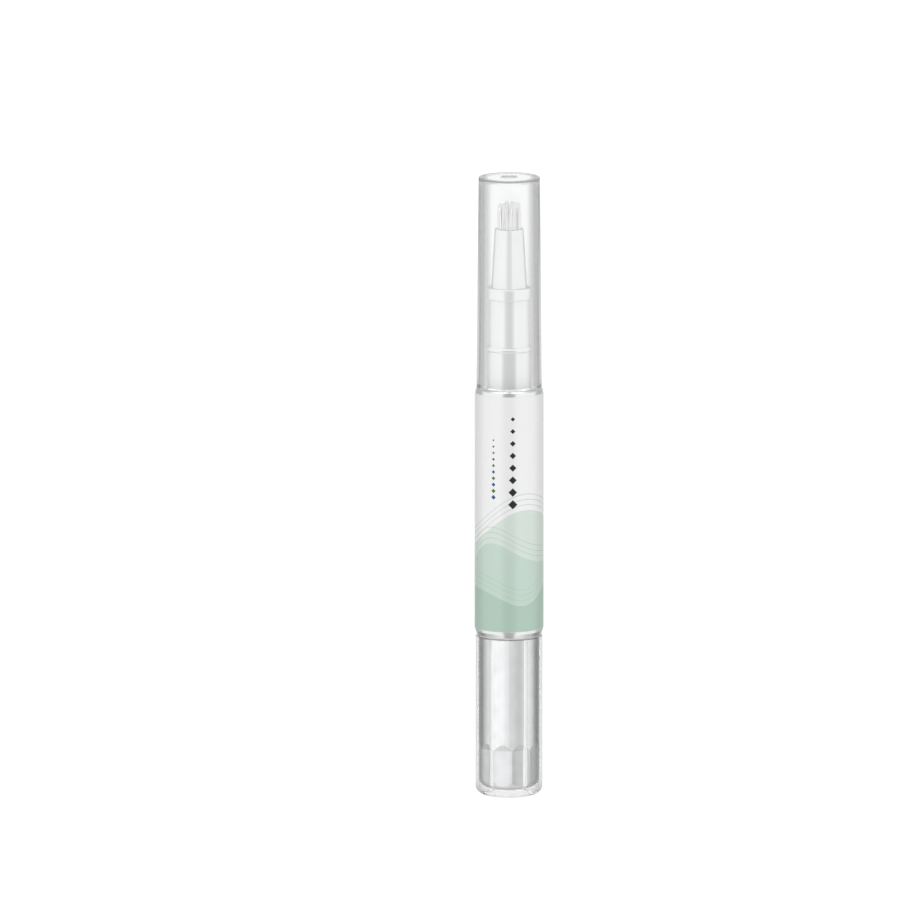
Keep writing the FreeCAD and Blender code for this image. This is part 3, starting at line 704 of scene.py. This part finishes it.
def setWorld():
    world = bpy.data.worlds.new("soft_studio")
    bpy.context.scene.world = world
    world.use_nodes = True
    world.cycles.sampling_method = "NONE"  # the ray kinds below then hold for every ray
    tree = world.node_tree
    coords = tree.nodes.new("ShaderNodeTexCoord")
    parts = tree.nodes.new("ShaderNodeSeparateXYZ")
    tree.links.new(coords.outputs["Generated"], parts.inputs[0])
    x, y, z = parts.outputs
    turn = calc(tree, "ARCTAN2", x, calc(tree, "MULTIPLY", y, -1))
    turn = calc(tree, "MULTIPLY_ADD", turn, 1 / (2 * math.pi), 0.5)
    rise = calc(tree, "MULTIPLY_ADD", z, 0.5, 0.5)
    heights = levelRamp(tree, rise, [(math.sin(math.radians(degrees)) / 2 + 0.5, level)
                                     for degrees, level in stageLook["heights"]])
    around = {}
    for name in ("mirrored", "through", "diffuse"):
        stops = [(degrees / 360 + 0.5, level) for degrees, level in stageLook[name]]
        around[name] = levelRamp(tree, turn, stops)
    rays = tree.nodes.new("ShaderNodeLightPath").outputs
    seen = mixColors(tree, rays["Is Transmission Ray"], around["mirrored"], around["through"])
    seen = calc(tree, "MULTIPLY", seen, heights)
    scattered = calc(tree, "GREATER_THAN", rays["Diffuse Depth"], 0.5)
    color = mixColors(tree, scattered, seen, around["diffuse"])
    color = mixColors(tree, rays["Is Camera Ray"], color, white)
    joinTo(tree, tree.nodes["Background"].inputs["Color"], color)


def setFloor():
    size = stageLook["floorSize"] / 2
    made = bpy.data.meshes.new("floor")
    corners = [(-size, -size, 0), (size, -size, 0), (size, size, 0), (-size, size, 0)]
    made.from_pydata(corners, [], [(0, 1, 2, 3)])
    floor = bpy.data.objects.new("floor", made)
    bpy.context.scene.collection.objects.link(floor)
    floor.visible_glossy = False
    floor.visible_transmission = False
    material = bpy.data.materials.new("white_sweep")
    material.use_nodes = True
    tree = material.node_tree
    tree.nodes.remove(tree.nodes["Principled BSDF"])
    rays = tree.nodes.new("ShaderNodeLightPath").outputs
    seen = tree.nodes.new("ShaderNodeBsdfDiffuse")
    seen.inputs["Color"].default_value = grey(stageLook["floorShade"])
    glow = tree.nodes.new("ShaderNodeEmission")
    glow.inputs["Strength"].default_value = stageLook["floorGlow"]
    both = tree.nodes.new("ShaderNodeAddShader")
    tree.links.new(seen.outputs[0], both.inputs[0])
    tree.links.new(glow.outputs[0], both.inputs[1])
    plain = tree.nodes.new("ShaderNodeBsdfDiffuse")
    plain.inputs["Color"].default_value = grey(stageLook["floorTone"])
    pick = tree.nodes.new("ShaderNodeMixShader")
    tree.links.new(rays["Is Camera Ray"], pick.inputs[0])
    tree.links.new(plain.outputs[0], pick.inputs[1])
    tree.links.new(both.outputs[0], pick.inputs[2])
    tree.links.new(pick.outputs[0], tree.nodes["Material Output"].inputs["Surface"])
    made.materials.append(material)


view = {
    # degrees, metres, and mm for a pixel and for the point that the camera looks at
    "elevation": 10.0, "distance": 5.0, "pixel": 0.2021, "pixels": 900, "aimX": -11.95, "aimZ": 70.55,
    "sensor": 36.0, "near": 0.01, "far": 50.0,
    "clearBounces": 128, "diffuseBounces": 8,
}


def setCamera():
    camera = bpy.data.cameras.new("photo_view")
    camera.sensor_width = view["sensor"]
    camera.lens = view["sensor"] * view["distance"] / (view["pixel"] * mm * view["pixels"])
    camera.clip_start, camera.clip_end = view["near"], view["far"]
    eye = bpy.data.objects.new("photo_view", camera)
    bpy.context.scene.collection.objects.link(eye)
    rise = math.radians(view["elevation"])
    aim = Vector((view["aimX"], 0, view["aimZ"])) * mm
    back = Vector((0, -math.cos(rise), math.sin(rise)))
    eye.location = aim + back * view["distance"]
    eye.rotation_euler = (-back).to_track_quat("-Z", "Y").to_euler()
    scene = bpy.context.scene
    scene.camera = eye
    # clear walls lead light along themselves, and white filaments pass it on
    scene.cycles.max_bounces = scene.cycles.transmission_bounces = view["clearBounces"]
    scene.cycles.glossy_bounces = view["clearBounces"]
    scene.cycles.diffuse_bounces = view["diffuseBounces"]


setWorld()
setFloor()
setCamera()
bpy.context.scene.view_settings.view_transform = "Standard"
print("stage, light and camera set")
